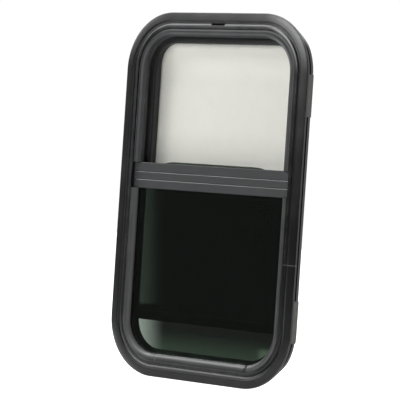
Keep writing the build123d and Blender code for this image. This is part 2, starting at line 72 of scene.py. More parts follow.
LOG = logging.getLogger("caravan_window")
MM = 0.001
BODY = "root"
NOISE_MIDDLE = 0.5
COATING_IOR = 1.5
RAY_KINDS = ("camera", "diffuse", "glossy", "transmission", "shadow", "volume_scatter")

Colour = Point = Tuple[float, float, float]
Span = Tuple[float, float]
Number = Union[float, "Value"]

BLACK: Colour = (0.0, 0.0, 0.0)
# Painted light: the pale sill behind the glass stands in for light falling on it.
SILL_PAINTED_LIGHT: Colour = (0.66, 0.70, 0.65)


class Slot(Enum):
    """Names of two material slots of the record, which this script does not use."""

    BLACK_FRAME = "black_frame"
    SCREEN_MESH = "screen_mesh"


class Axis(Enum):
    """Directions of the insect screen's threads: numbers of the axes along a thread and across it."""

    UPRIGHT = (2, 0)
    ACROSS = (0, 2)


class Region(Enum):
    """Stretches of the window's outline: the sides and the bends, as signs of x and z."""

    LEFT = (-1, 0)
    RIGHT = (1, 0)
    TOP = (0, 1)
    BOTTOM = (0, -1)
    TOP_LEFT = (-1, 1)
    TOP_RIGHT = (1, 1)
    BOTTOM_LEFT = (-1, -1)
    BOTTOM_RIGHT = (1, -1)


class Value:
    """A number carried by a shader socket; Python's operators on it add Math nodes."""

    def __init__(self, graph: "NodeGraph", socket: NodeSocket) -> None:
        """Keep the socket and the graph that it belongs to."""
        self.graph = graph
        self.socket = socket

    def math(self, operation: str, *others: Number) -> "Value":
        """Add a Math node.

        Args:
            operation: The Math node's operation.
            *others: Its further inputs.

        Returns:
            The node's result.
        """
        made = self.graph.node("ShaderNodeMath", {"operation": operation}, dict(enumerate((self, *others))))
        return Value(self.graph, made.outputs[0])

    def __add__(self, other: Number) -> "Value":
        """Sum."""
        return self.math("ADD", other)

    __radd__ = __add__

    def __sub__(self, other: Number) -> "Value":
        """Difference."""
        return self.math("SUBTRACT", other)

    def __rsub__(self, other: Number) -> "Value":
        """Difference from a number."""
        return self * -1.0 + other

    def __mul__(self, other: Number) -> "Value":
        """Product."""
        return self.math("MULTIPLY", other)

    __rmul__ = __mul__

    def __truediv__(self, other: Number) -> "Value":
        """Quotient."""
        return self.math("DIVIDE", other)

    def __abs__(self) -> "Value":
        """Size without sign."""
        return self.math("ABSOLUTE")

    def at_least(self, low: Number) -> "Value":
        """The larger of this and low."""
        return self.math("MAXIMUM", low)

    def at_most(self, high: Number) -> "Value":
        """The smaller of this and high."""
        return self.math("MINIMUM", high)

    def root(self) -> "Value":
        """Square root."""
        return self.math("SQRT")

    def swing(self) -> "Value":
        """How far a noise is off its middle."""
        return self - NOISE_MIDDLE

    def lifted(self, least: float) -> "Value":
        """A value from 0 to 1, squeezed to run from least to 1."""
        return self * (1.0 - least) + least

    def ramp(self, low: float, high: float) -> "Value":
        """Smooth rise from 0 at low to 1 at high.

        Args:
            low: Where the rise starts.
            high: Where it ends; below low, the ramp falls instead.

        Returns:
            A value from 0 to 1.
        """
        start, end = min(low, high), max(low, high)
        made = self.graph.node("ShaderNodeMapRange", {"interpolation_type": "SMOOTHSTEP"},
                               {"Value": self, "From Min": start, "From Max": end})
        rise = Value(self.graph, made.outputs[0])
        return rise if low < high else 1.0 - rise

    def line(self, place: float, half: float) -> "Value":
        """Soft line of the given half width around a place: 1 on it and 0 away from it."""
        return abs(self - place).ramp(half, 0.0)


@dataclass(frozen=True)
class Grain:
    """Cloudy variation.

    It has patches of a size in metres with octaves of finer ones in them, a span of values that counts, a
    stretch that makes it finer along an axis, and, where it is relief, a depth in metres and a strength.
    """

    size: float
    detail: float = 2.0
    span: Span = (0.0, 1.0)
    stretch: Point = (1.0, 1.0, 1.0)
    depth: float = 0.0
    strength: float = 0.0


class NodeGraph:
    """A node tree that is written as expressions."""

    def __init__(self, tree: NodeTree) -> None:
        """Start from an empty tree."""
        self.tree = tree
        tree.nodes.clear()

    def node(self, kind: str, settings: Optional[Dict[str, Any]] = None,
             inputs: Optional[Dict[Union[str, int], Any]] = None) -> Node:
        """Add a node.

        Args:
            kind: Blender's name of the node type.
            settings: Properties of the node, set first.
            inputs: Values or links of its sockets, by name or number.

        Returns:
            The node.
        """
        made = self.tree.nodes.new(kind)
        for key, value in (settings or {}).items():
            setattr(made, key, value)
        for key, value in (inputs or {}).items():
            if isinstance(value, Value):
                value = value.socket
            if isinstance(value, NodeSocket):
                self.tree.links.new(value, made.inputs[key])
            else:
                made.inputs[key].default_value = value
        return made

    @functools.cached_property
    def place(self) -> NodeSocket:
        """Object coordinates, which are the part's own frame."""
        return self.node("ShaderNodeTexCoord").outputs["Object"]

    def split(self, vector: NodeSocket) -> Tuple[Value, ...]:
        """The three numbers of a vector."""
        made = self.node("ShaderNodeSeparateXYZ", inputs={0: vector})
        return tuple(Value(self, output) for output in made.outputs)

    @functools.cached_property
    def axes(self) -> Tuple[Value, ...]:
        """X, Y and Z of the point being shaded."""
        return self.split(self.place)

    def upward(self) -> Value:
        """How much the surface faces up, from -1 to 1."""
        return self.split(self.node("ShaderNodeNewGeometry").outputs["Normal"])[2]

    def noise(self, grain: Grain) -> Value:
        """Cloudy variation.

        Args:
            grain: Its patches.

        Returns:
            A value around NOISE_MIDDLE.
        """
        mapped = self.node("ShaderNodeMapping", inputs={"Vector": self.place, "Scale": grain.stretch})
        made = self.node("ShaderNodeTexNoise", inputs={
            "Vector": mapped.outputs[0], "Scale": 1.0 / grain.size, "Detail": grain.detail})
        return Value(self, made.outputs[0])

    def clouds(self, grain: Grain) -> Value:
        """Cloudy variation from 0 to 1 over the grain's span."""
        return self.noise(grain).ramp(*grain.span)

    def blend(self, first: Any, second: Any, share: Value) -> NodeSocket:
        """Mix two colours.

        Args:
            first: Colour or colour socket where share is 0.
            second: Colour or colour socket where share is 1.
            share: Share of the second.

        Returns:
            The mixed colour's socket.
        """
        made = self.node("ShaderNodeMix", {"data_type": "RGBA"}, {0: share, 6: rgba(first), 7: rgba(second)})
        return made.outputs[2]

    def bump(self, grain: Grain, height: Value) -> NodeSocket:
        """Surface relief, as deep and as strong as the grain says."""
        inputs = {"Strength": grain.strength, "Distance": grain.depth, "Height": height}
        return self.node("ShaderNodeBump", inputs=inputs).outputs[0]


def rgba(colour: Any) -> Any:
    """A colour with its fourth number, or a socket as it is."""
    return (*colour, 1.0) if isinstance(colour, tuple) and len(colour) == 3 else colour


def times(colour: Colour, factor: float) -> Colour:
    """A colour made lighter or darker."""
    return tuple(factor * part for part in colour)


@dataclass(frozen=True)
class Patch:
    """Stretch of one region, from one inset to another, that carries rubbed wear, painted light or painted
    shade, as its owner uses it.
    """

    region: Region
    start: float
    end: float
    amount: float
    soft: float = 0.6


def stretches(region: Region, *rows: Tuple[float, ...]) -> Tuple[Patch, ...]:
    """Patches of one region, each row with start, end, amount and, where it isn't the usual one, softness."""
    return tuple(Patch(region, *row) for row in rows)


@dataclass(frozen=True)
class Outline:
    """Rounded outline of the flange, from which the window's marks are measured."""

    half_w: float = 178.5 * MM
    half_h: float = 280 * MM
    corner_r: float = 88 * MM
    side_soft: float = 10 * MM
    mitre_soft: float = 4 * MM

    def point(self, inset: float, along: float) -> Span:
        """Point on the outline moved inwards.

        Args:
            inset: How far inwards, in metres.
            along: Place round the outline from 0 to 1, clockwise from the middle of the top.

        Returns:
            The point's x and z.
        """
        w, h, r = self.half_w - inset, self.half_h - inset, self.corner_r - inset
        side, bend = w - r, math.pi / 2 * r
        quarter_l = side + bend + h - r
        quarter, left = divmod(along * 4 * quarter_l, quarter_l)
        left = quarter_l - left if quarter % 2 else left
        turn = min(max((left - side) / r, 0.0), math.pi / 2)
        x = min(left, side) + r * math.sin(turn)
        z = h - r - max(left - side - bend, 0.0) + r * math.cos(turn)
        return x if quarter < 2 else -x, z if quarter in (0, 3) else -z


OUTLINE = Outline()


class Shader(NodeGraph):
    """Node tree of one material around one principled surface, and the places on the window's outline."""

    def __init__(self, name: str) -> None:
        """Make the material.

        Args:
            name: The material's name.
        """
        self.material = bpy.data.materials.new(name)
        self.material.use_nodes = True
        super().__init__(self.material.node_tree)

    @functools.cached_property
    def past(self) -> Tuple[Value, Value]:
        """How far the point being shaded lies past the start of a bend, along X and along Z."""
        x, _, z = self.axes
        return abs(x) - (OUTLINE.half_w - OUTLINE.corner_r), abs(z) - (OUTLINE.half_h - OUTLINE.corner_r)

    @functools.cached_property
    def inset(self) -> Value:
        """Distance inwards from the outline at the point being shaded, in millimetres."""
        past_x, past_z = (past.at_least(0.0) for past in self.past)
        return (OUTLINE.corner_r - (past_x * past_x + past_z * past_z).root()) / MM

    @functools.cached_property
    def bend(self) -> Value:
        """How far into a bend the point being shaded lies: 0 on the straight sides, 1 half-way round."""
        past_x, past_z = (past.at_least(0.0) for past in self.past)
        return (past_x * past_z * 2.0) / (past_x * past_x + past_z * past_z).at_least(MM * MM)

    @functools.cache
    def region(self, region: Region) -> Value:
        """Where a region of the outline is.

        Args:
            region: The side or bend.

        Returns:
            1 in the region, falling to 0 outside it.
        """
        x, _, z = self.axes
        past_x, past_z = self.past
        sign_x, sign_z = region.value
        inside = self.bend if sign_x and sign_z else 1.0 - self.bend
        for sign, place, past, other in ((sign_x, x, past_x, past_z), (sign_z, z, past_z, past_x)):
            if sign:
                inside = inside * (place * float(sign)).ramp(0.0, OUTLINE.side_soft)
            else:
                inside = inside * (other - past).ramp(-OUTLINE.mitre_soft, OUTLINE.mitre_soft)
        return inside

    @property
    def foot(self) -> Value:
        """Where the bottom and the lower right bend are."""
        return (self.region(Region.BOTTOM) + self.region(Region.BOTTOM_RIGHT)).at_most(1.0)

    @functools.cache
    def wear(self, patches: Sequence[Patch]) -> Value:
        """Sum of patches.

        Args:
            patches: The patches.

        Returns:
            Their strength at the point being shaded.
        """
        inset = self.inset
        total = inset * 0.0
        for patch in patches:
            band = inset.ramp(patch.start - patch.soft, patch.start + patch.soft)
            band = band * inset.ramp(patch.end + patch.soft, patch.end - patch.soft)
            total = total + band * self.region(patch.region) * patch.amount
        return total.at_most(1.0)

    def finish(self, **sockets: Any) -> Material:
        """Add the surface and its output.

        Args:
            **sockets: Values or links of the principled surface, with _ for a space in a socket's name.

        Returns:
            The material.
        """
        inputs = {key.replace("_", " "): rgba(value) for key, value in sockets.items()}
        surface = self.node("ShaderNodeBsdfPrincipled", inputs=inputs)
        self.node("ShaderNodeOutputMaterial", inputs={"Surface": surface.outputs[0]})
        return self.material


@dataclass(frozen=True)
class PowderCoat:
    """Black powder coat on aluminium: fine orange peel, faint cloudiness and dust, with up-facing faces
    lightened by settled dust and painted light from above.
    """

    tone: Colour = (0.0115, 0.0117, 0.0120)
    dusty: Colour = (0.045, 0.046, 0.045)
    roughness: float = 0.32
    unevenness: float = 0.10
    dust: float = 0.22
    dust_roughness: float = 0.2
    cloud: Grain = Grain(60 * MM, 4.0, (0.42, 0.75))
    cloud_share: float = 0.6
    specks: Grain = Grain(2.6 * MM, 3.0, (0.62, 0.80))
    speck_share: float = 0.4
    # Up-facing faces take this pale colour: settled dust together with painted light from above.
    ledge_dust_and_light: Colour = (0.505, 0.520, 0.540)
    ledge_amount: float = 0.8
    ledge_span: Span = (0.40, 0.85)
    ledge_grain: Grain = Grain(9 * MM, 3.0)
    ledge_least: float = 0.7
    ledge_patchiness: float = 0.4
    peel: Grain = Grain(0.9 * MM, 1.0, depth=0.02 * MM, strength=0.35)

    def ground(self, shader: Shader) -> Any:
        """Colour of the clean coat, which may differ from place to place."""
        return self.tone

    def ledge_share(self, shader: Shader) -> Number:
        """Share of the ledge colour, settled dust with painted light, at the point being shaded."""
        return self.ledge_amount

    def dullness(self, shader: Shader) -> Number:
        """What the patches of painted shade add to the roughness at the point being shaded."""
        return 0.0

    def marks(self, shader: Shader) -> Tuple[Optional[Value], Colour]:
        """Marks of this surface alone: where they are, or none, and their colour."""
        return None, self.dusty

    def material(self, name: str) -> Material:
        """The finish as a material.

        Args:
            name: The material's name.

        Returns:
            The material.
        """
        shader = Shader(name)
        cloud = shader.noise(self.cloud)
        specks = shader.clouds(self.specks) * self.speck_share
        dust = (cloud.ramp(*self.cloud.span) * self.cloud_share + specks) * self.dust
        colour = shader.blend(self.ground(shader), self.dusty, dust)
        # Up-facing faces are lightened: settled dust together with painted light from above.
        patchy = shader.noise(self.ledge_grain) * self.ledge_patchiness + self.ledge_least
        settled_and_lit = shader.upward().ramp(*self.ledge_span) * patchy
        colour = shader.blend(colour, self.ledge_dust_and_light, settled_and_lit * self.ledge_share(shader))
        where, shade = self.marks(shader)
        if where is not None:
            colour = shader.blend(colour, shade, where)
        rough = self.roughness + cloud.swing() * self.unevenness + dust * self.dust_roughness
        normal = shader.bump(self.peel, shader.noise(self.peel))
        return shader.finish(Base_Color=colour, Roughness=rough + self.dullness(shader), Normal=normal,
                             IOR=COATING_IOR)


@dataclass(frozen=True)
class RingCoat(PowderCoat):
    """Powder coat of the clamp ring, with painted shade in black on the side that faces the wall."""

    tone: Colour = (0.030, 0.030, 0.029)
    dust: float = 0.4
    wall_side: Span = (4.6 * MM, 4.2 * MM)

    def ground(self, shader: Shader) -> Any:
        """Colour of the coat, with painted shade in black in the gap that takes the wall."""
        _, y, _ = shader.axes
        # Painted shade: the face inside the shaded gap is made black.
        return shader.blend(self.tone, BLACK, y.ramp(*self.wall_side))

    def ledge_share(self, shader: Shader) -> Number:
        """The settled dust and painted light lie outside that gap."""
        _, y, _ = shader.axes
        return y.ramp(*reversed(self.wall_side)) * self.ledge_amount


@dataclass(frozen=True)
class FrameCoat(PowderCoat):
    """Powder coat of the frame: rubbed edges and painted highlights, a bare butt joint, ledges with dust and
    painted light, painted shade, and painted light in the tracks and on the sill.

    A name with _y, _z or _x gives the places between which something sets in or ends along that axis, and
    one with _inset those between which it does so across the section.
    """

    # Colour of rubbed wear and of painted highlights.
    wear_and_highlight: Colour = (0.40, 0.40, 0.40)
    edges: Tuple[float, ...] = (0.4, 20.4, 23.6)
    edge_half: float = 0.7
    edge_wear: float = 0.12
    crest_y: Span = (-3.0 * MM, -4.4 * MM)
    face_y: Span = (0.0, -1.0 * MM)
    left_x: Span = (10 * MM, -10 * MM)
    right_x: Span = (0.0, 10 * MM)
    upper_z: Span = (0.0, 100 * MM)
    # Rubbed wear with a painted highlight on the upper right bend, and scuffs with painted glints on the left
    # bends.
    upper_wear_and_highlight: float = 0.3
    scuff_and_glint: float = 0.29
    scuff_and_glint_inset: Span = (7.0, 1.0)
    scuff_and_glint_bend: Span = (0.25, 0.95)
    scuff_and_glint_least: float = 0.6
    seam_z: float = -90.4 * MM
    seam_half: float = 0.9 * MM
    seam_wear: float = 0.6
    # Painted light: the tracks are made paler where the recess lies in shade.
    track: Colour = (0.060, 0.061, 0.062)
    track_y: Span = (2 * MM, 6 * MM)
    track_inset: Span = (21.0, 23.5)
    track_dark_top: float = 0.5
    # Painted shade: the flange's back inside the wall slot is made black.
    wall_y: Span = (-0.7 * MM, -0.3 * MM)
    wall_inset: Span = (22.0, 20.0)
    sill: Colour = SILL_PAINTED_LIGHT
    sill_front_y: Span = (1 * MM, 3 * MM)
    sill_back_y: Span = (14 * MM, 13 * MM)
    sill_inset: Span = (32.0, 34.0)
    # Painted shade: the colour of the darkened right side and of the patches of painted shade.
    shaded: Colour = (0.003, 0.003, 0.003)
    shaded_top_z: Span = (100 * MM, 40 * MM)
    shaded_foot_z: Span = (-200 * MM, -40 * MM)
    # Where the settled dust and painted light lie on the frame.
    ledge_inset: Span = (19.8, 19.2)
    ledge_y: Span = (0.2 * MM, -0.2 * MM)
    wiped_inset: Span = (11.0, 12.0)
    wiped_end_inset: Span = (15.8, 15.2)
    patchy: Grain = Grain(14 * MM, 3.0, (0.40, 0.70))
    patch_least: float = 0.7
    # Lighter stretches: painted highlights along the grooves at the top, the bottom and the bends, painted
    # light in the shaded side grooves, and rubbed wear with painted highlights on the upper right bend.
    patches: Tuple[Patch, ...] = (
        *stretches(Region.TOP_RIGHT, (0.6, 6.0, 0.34, 2.0), (6.0, 11.0, 0.15, 2.0), (13.2, 16.6, 0.36),
                   (18.9, 21.4, 0.85, 0.5), (21.4, 23.8, 0.30)),
        *stretches(Region.TOP, (12.0, 18.0, 0.10, 0.8), (16.2, 18.6, 0.26), (19.8, 23.2, 0.14)),
        *stretches(Region.BOTTOM, (15.8, 17.6, 1.00, 0.3)),
        *stretches(Region.BOTTOM_LEFT, (16.2, 18.4, 0.30, 0.4), (21.0, 24.0, 0.06)),
        *stretches(Region.TOP_LEFT, (1.0, 11.0, 0.08, 2.0), (14.6, 18.6, 0.26)),
        *stretches(Region.LEFT, (13.8, 17.2, 0.09)),
        *stretches(Region.RIGHT, (16.8, 19.2, 0.08)),
    )
    # Painted shade over highlights of the lower left bend and the bottom; these stretches also dull the
    # gloss.
    painted_shade: Tuple[Patch, ...] = (
        *stretches(Region.BOTTOM_LEFT, (10.8, 15.4, 0.90, 0.8)),
        *stretches(Region.BOTTOM, (10.8, 15.0, 0.90, 0.8), (21.4, 24.6, 0.80)),
    )
    dulling: float = 0.40

    def ground(self, shader: Shader) -> Any:
        """Colour of the coat: painted shade on the right side, in patches and in the wall slot, and painted
        light in the tracks and on the sill.

        Args:
            shader: The material.

        Returns:
            The colour's socket.
        """
        _, y, z = shader.axes
        inset = shader.inset
        # Painted shade on the right side and in the patches of painted shade.
        right = shader.region(Region.RIGHT) * z.ramp(*self.shaded_top_z)
        right = right * z.ramp(*self.shaded_foot_z)
        coat = shader.blend(self.tone, self.shaded, right.at_least(shader.wear(self.painted_shade)))
        # Painted light in the shaded tracks, less of it at the top.
        inside = y.ramp(*self.track_y) * inset.ramp(*self.track_inset)
        top = shader.region(Region.TOP)
        coat = shader.blend(coat, self.track, inside * (1.0 - top * self.track_dark_top))
        # Painted shade: black in the wall slot.
        coat = shader.blend(coat, BLACK, y.ramp(*self.wall_y) * inset.ramp(*self.wall_inset))
        # Painted light on the sill behind the glass.
        sill = y.ramp(*self.sill_front_y) * y.ramp(*self.sill_back_y) * inset.ramp(*self.sill_inset)
        return shader.blend(coat, self.sill, sill * shader.foot)

    def ledge_share(self, shader: Shader) -> Number:
        """Settled dust with painted light lies on the flange and on the groove's inner side, and is wiped off
        further in.

        Args:
            shader: The material.

        Returns:
            The share of the settled dust and painted light.
        """
        _, y, _ = shader.axes
        inset = shader.inset
        wiped = inset.ramp(*self.wiped_inset) * inset.ramp(*self.wiped_end_inset)
        return inset.ramp(*self.ledge_inset) * (1.0 - wiped) * y.ramp(*self.ledge_y) * self.ledge_amount

    def dullness(self, shader: Shader) -> Number:
        """The patches of painted shade also take the gloss off the coat."""
        return shader.wear(self.painted_shade) * self.dulling

    def marks(self, shader: Shader) -> Tuple[Optional[Value], Colour]:
        """Rubbed edges, patches of wear and painted highlight, scuffs with painted glints on the left bends,
        and the butt joint.

        Args:
            shader: The material.

        Returns:
            Where they are and their colour.
        """
        x, y, z = shader.axes
        inset, bend = shader.inset, shader.bend
        patchy = shader.clouds(self.patchy)
        crest, face, left = y.ramp(*self.crest_y), y.ramp(*self.face_y), x.ramp(*self.left_x)
        edge = functools.reduce(Value.at_least, [inset.line(place, self.edge_half) for place in self.edges])
        # Rubbed wear with a painted highlight on the upper right bend.
        upper = (1.0 - left) * z.ramp(*self.upper_z) * bend * self.upper_wear_and_highlight
        worn = edge * patchy * crest * (upper + self.edge_wear)
        worn = worn.at_least(shader.wear(self.patches) * patchy.lifted(self.patch_least) * face)
        # Scuffs with painted glints on the outer band of the left bends.
        scuffed_and_glinting = bend.ramp(*self.scuff_and_glint_bend) * inset.ramp(*self.scuff_and_glint_inset) * left * crest
        worn = worn.at_least(scuffed_and_glinting * patchy.lifted(self.scuff_and_glint_least) * self.scuff_and_glint)
        seam = z.line(self.seam_z, self.seam_half) * x.ramp(*self.right_x) * face
        return worn.at_least(seam * self.seam_wear), self.wear_and_highlight


@dataclass(frozen=True)
class Vinyl:
    """Extruded vinyl: satin, a little chalky, with painted highlights, painted shade, a crack and joints
    where it has them.
    """

    tone: Colour = (0.037, 0.039, 0.039)
    chalk: Colour = (0.080, 0.082, 0.080)
    chalkiness: float = 0.35
    cloud: Grain = Grain(30 * MM, 4.0, (0.40, 0.80))
    cloud_roughness: float = 0.12
    roughness: float = 0.42
    grain: Grain = Grain(1.2 * MM, depth=0.02 * MM, strength=0.3)
    grain_roughness: float = 0.06
    # The lighter colour is that of the painted highlights and of the light line beside each joint; the darker
    # one that of painted shade.
    dusty: Colour = (0.22, 0.225, 0.22)
    painted_shade_tone: Colour = (0.012, 0.012, 0.012)
    patches: Tuple[Patch, ...] = ()
    painted_shade: Tuple[Patch, ...] = ()
    dulling: float = 0.35
    low_z: Span = (-200 * MM, -210 * MM)
    crack: Optional[Point] = None
    crack_half: float = 2.2 * MM
    crack_grain: Grain = Grain(3.0 * MM)
    crack_wave: float = 3.0 * MM
    crack_black: Span = (0.3, 0.8)
    crack_dull: float = 1.6
    crack_deep: float = 140.0
    joints: Tuple[float, ...] = ()
    joint_half: float = 0.8 * MM

    @functools.cache
    def split(self, shader: Shader) -> Optional[Value]:
        """Where the vinyl is cracked through.

        Args:
            shader: The material.

        Returns:
            1 on the crack and 0 away from it, or none.
        """
        if not self.crack:
            return None
        x, _, z = shader.axes
        crack_x, crack_z, lean = self.crack
        across = x - (z - crack_z) * lean + shader.noise(self.crack_grain).swing() * self.crack_wave
        return across.line(crack_x, self.crack_half) * z.ramp(*self.low_z)

    def marks(self, shader: Shader, colour: Any) -> Tuple[Any, Value]:
        """Stretches of painted highlight and of painted shade, a crack, and the dark lines where two lengths
        meet.

        Args:
            shader: The material.
            colour: The colour that they lie on.

        Returns:
            The marked colour's socket, and where painted shade and the crack take the gloss off.
        """
        x, _, z = shader.axes
        half, low = self.joint_half, z.ramp(*self.low_z)
        # Patches in the lighter colour are painted highlights; the darker stretches are painted shade, which
        # also dulls the gloss.
        colour = shader.blend(colour, self.dusty, shader.wear(self.patches))
        shade_and_dull = shader.wear(self.painted_shade)
        colour = shader.blend(colour, self.painted_shade_tone, shade_and_dull)
        for joint in self.joints:
            colour = shader.blend(colour, self.dusty, x.line(joint + 2 * half, half) * low)
            colour = shader.blend(colour, BLACK, x.line(joint, half) * low)
        split = self.split(shader)
        if split is not None:
            colour = shader.blend(colour, BLACK, split.ramp(*self.crack_black))
            shade_and_dull = shade_and_dull.at_least(split * self.crack_dull)
        return colour, shade_and_dull

    def material(self, name: str) -> Material:
        """The finish as a material.

        Args:
            name: The material's name.

        Returns:
            The material.
        """
        shader = Shader(name)
        cloud, fine = shader.noise(self.cloud), shader.noise(self.grain)
        colour = shader.blend(self.tone, self.chalk, cloud.ramp(*self.cloud.span) * self.chalkiness)
        colour, shade_and_dull = self.marks(shader, colour)
        rough = self.roughness + cloud.swing() * self.cloud_roughness + fine.swing() * self.grain_roughness
        split = self.split(shader)
        relief = fine if split is None else fine - split * self.crack_deep
        normal = shader.bump(self.grain, relief)
        return shader.finish(Base_Color=colour, Roughness=rough + shade_and_dull * self.dulling, Normal=normal,
                             IOR=COATING_IOR)


@dataclass(frozen=True)
class MouldedPlastic:
    """Moulded plastic: matt, with a fine spark-eroded grain."""

    tone: Colour = (0.085, 0.085, 0.077)
    lighter: float = 1.35
    cloud: Grain = Grain(12 * MM, 3.0, (0.35, 0.75))
    roughness: float = 0.55
    grain: Grain = Grain(0.8 * MM, depth=0.03 * MM, strength=0.4)
    grain_roughness: float = 0.15

    def ground(self, shader: Shader, grain: Value) -> NodeSocket:
        """Colour, lighter in clouds."""
        return shader.blend(self.tone, times(self.tone, self.lighter), shader.clouds(self.cloud))

    def material(self, name: str) -> Material:
        """The finish as a material.

        Args:
            name: The material's name.

        Returns:
            The material.
        """
        shader = Shader(name)
        grain = shader.noise(self.grain)
        rough = self.roughness + grain.swing() * self.grain_roughness
        normal = shader.bump(self.grain, grain)
        return shader.finish(Base_Color=self.ground(shader, grain), Roughness=rough, Normal=normal)


@dataclass(frozen=True)
class SoftStrip(MouldedPlastic):
    """Rubber or pile strip: dull black with a short nap or a fine matt grain."""

    tone: Colour = (0.016, 0.016, 0.016)
    lighter: float = 1.8
    roughness: float = 0.85
    grain: Grain = Grain(0.6 * MM, 3.0, depth=0.15 * MM, strength=0.5)
    grain_roughness: float = 0.1
    sill: Optional[Colour] = None

    def ground(self, shader: Shader, grain: Value) -> NodeSocket:
        """Colour, lighter where the nap stands up, with painted light on the sill."""
        colour = shader.blend(self.tone, times(self.tone, self.lighter), grain)
        # Painted light on the sill.
        return shader.blend(colour, self.sill, shader.foot) if self.sill else colour


@dataclass(frozen=True)
class TintedGlass:
    """Toughened glass with a grey-green tint and a few wiped smears."""

    tint: Colour = (0.250, 0.302, 0.259)
    darker: float = 0.92
    roughness: float = 0.002
    smear: float = 0.008
    smears: Grain = Grain(70 * MM, 3.0, (0.55, 0.80), (1.0, 1.0, 2.4))
    clear: float = 0.987
    ior: float = 1.5

    def material(self, name: str) -> Material:
        """The finish as a material.

        Args:
            name: The material's name.

        Returns:
            The material.
        """
        shader = Shader(name)
        wiped = shader.noise(self.smears)
        colour = shader.blend(self.tint, times(self.tint, self.darker), wiped)
        rough = self.roughness + wiped.ramp(*self.smears.span) * self.smear
        return shader.finish(Base_Color=colour, Roughness=rough, Transmission_Weight=self.clear, IOR=self.ior)


@dataclass(frozen=True)
class CoatedThread:
    """Pale vinyl-coated thread of the insect screen, with painted light above and painted shade at the left
    and at the foot.
    """

    tone: Colour = (0.825, 0.825, 0.765)
    dusty: Colour = (0.66, 0.66, 0.60)
    cloud: Grain = Grain(26 * MM, 4.0, (0.40, 0.75))
    cloud_share: float = 0.10
    slubs: Grain = Grain(3.0 * MM, stretch=(1.0, 1.0, 0.2))
    slub_share: float = 0.3
    slub_roughness: float = 0.1
    # Painted shadow towards the left edge, where the frame shades the screen, and painted shade towards the
    # foot.
    painted_shade_tone: Colour = (0.42, 0.42, 0.37)
    painted_shade_x: Span = (-100 * MM, -136 * MM)
    painted_shade: float = 0.55
    foot_z: Span = (110 * MM, 50 * MM)
    foot_painted_shade: float = 0.24
    # Painted light towards the top, fading out just under the frame's top edge.
    painted_light: Colour = (0.99, 0.99, 0.915)
    painted_light_z: Span = (170 * MM, 232 * MM)
    shaded_z: Span = (236 * MM, 224 * MM)
    roughness: float = 0.6

    def material(self, name: str) -> Material:
        """The finish as a material.

        Args:
            name: The material's name.

        Returns:
            The material.
        """
        shader = Shader(name)
        x, _, z = shader.axes
        slub = shader.noise(self.slubs)
        dust = (shader.clouds(self.cloud) * self.cloud_share + slub * self.slub_share).at_most(1.0)
        colour = shader.blend(self.tone, self.dusty, dust)
        # Painted light towards the top.
        colour = shader.blend(colour, self.painted_light, z.ramp(*self.painted_light_z) * z.ramp(*self.shaded_z))
        # Painted shadow at the left and painted shade at the foot.
        shade_share = x.ramp(*self.painted_shade_x) * self.painted_shade + z.ramp(*self.foot_z) * self.foot_painted_shade
        colour = shader.blend(colour, self.painted_shade_tone, shade_share)
        return shader.finish(Base_Color=colour, Roughness=self.roughness + slub.swing() * self.slub_roughness)


@dataclass(frozen=True)
class ScrewFinish:
    """Blackened steel screw, worn towards bright metal."""

    tone: Colour = (0.03, 0.03, 0.032)
    worn: Colour = (0.30, 0.29, 0.28)
    wear: Grain = Grain(1.6 * MM, 3.0, (0.55, 0.75))
    wear_share: float = 0.5
    roughness: float = 0.38
    wear_roughness: float = 0.12
    metal: float = 0.5
    wear_metal: float = 0.4

    def material(self, name: str) -> Material:
        """The finish as a material.

        Args:
            name: The material's name.

        Returns:
            The material.
        """
        shader = Shader(name)
        wear = shader.clouds(self.wear)
        colour = shader.blend(self.tone, self.worn, wear * self.wear_share)
        return shader.finish(Base_Color=colour, Roughness=self.roughness + wear * self.wear_roughness,
                             Metallic=wear * self.wear_metal + self.metal)


def dress(material: Material, *nodes: str) -> None:
    """Give CAD nodes a material.

    Args:
        material: The material.
        *nodes: Names of the nodes.
    """
    for node in nodes:
        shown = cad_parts[node]
        shown.data.materials.clear()
        shown.data.materials.append(material)


def deselect() -> None:
    """Leave nothing selected and no object in edit mode."""
    if bpy.context.object and bpy.context.object.mode != "OBJECT":
        bpy.ops.object.mode_set(mode="OBJECT")
    bpy.ops.object.select_all(action="DESELECT")


def pick(piece: Object) -> None:
    """Select one piece alone and make it active.

    Args:
        piece: The piece.
    """
    deselect()
    piece.select_set(True)
    bpy.context.view_layer.objects.active = piece


def smooth(piece: Object, degrees: float) -> None:
    """Shade a piece smooth across edges up to an angle."""
    pick(piece)
    bpy.ops.object.shade_smooth_by_angle(angle=math.radians(degrees))


def added(name: str) -> Object:
    """Name the primitive that was just added and put its place and scale into its mesh.

    Args:
        name: The name of the object and its mesh.

    Returns:
        The object.
    """
    made = bpy.context.object
    made.name = name
    made.data.name = name
    bpy.ops.object.transform_apply(location=True, rotation=True, scale=True)
    return made


def apply(piece: Object, kind: str, **settings: Any) -> None:
    """Add a modifier to a piece and apply it.

    Args:
        piece: The piece, which is made active.
        kind: The modifier's type.
        **settings: Its properties.
    """
    pick(piece)
    modifier = piece.modifiers.new(kind.lower(), kind)
    for key, value in settings.items():
        setattr(modifier, key, value)
    bpy.ops.object.modifier_apply(modifier=modifier.name)


def copy_of(source: Object, name: str) -> Object:
    """Copy an object with its own mesh.

    Args:
        source: The object to copy.
        name: The copy's name.

    Returns:
        The copy, in the scene.
    """
    made = source.copy()
    made.data = source.data.copy()
    made.name = name
    made.data.name = name
    made.parent = None
    bpy.context.collection.objects.link(made)
    return made


def ride(piece: Object, material: Material) -> None:
    """Put a new piece on the window.

    Args:
        piece: The piece.
        material: Its material.
    """
    piece.data.materials.clear()
    piece.data.materials.append(material)
    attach(piece, BODY)
    LOG.info("piece %s with %d faces", piece.name, len(piece.data.polygons))


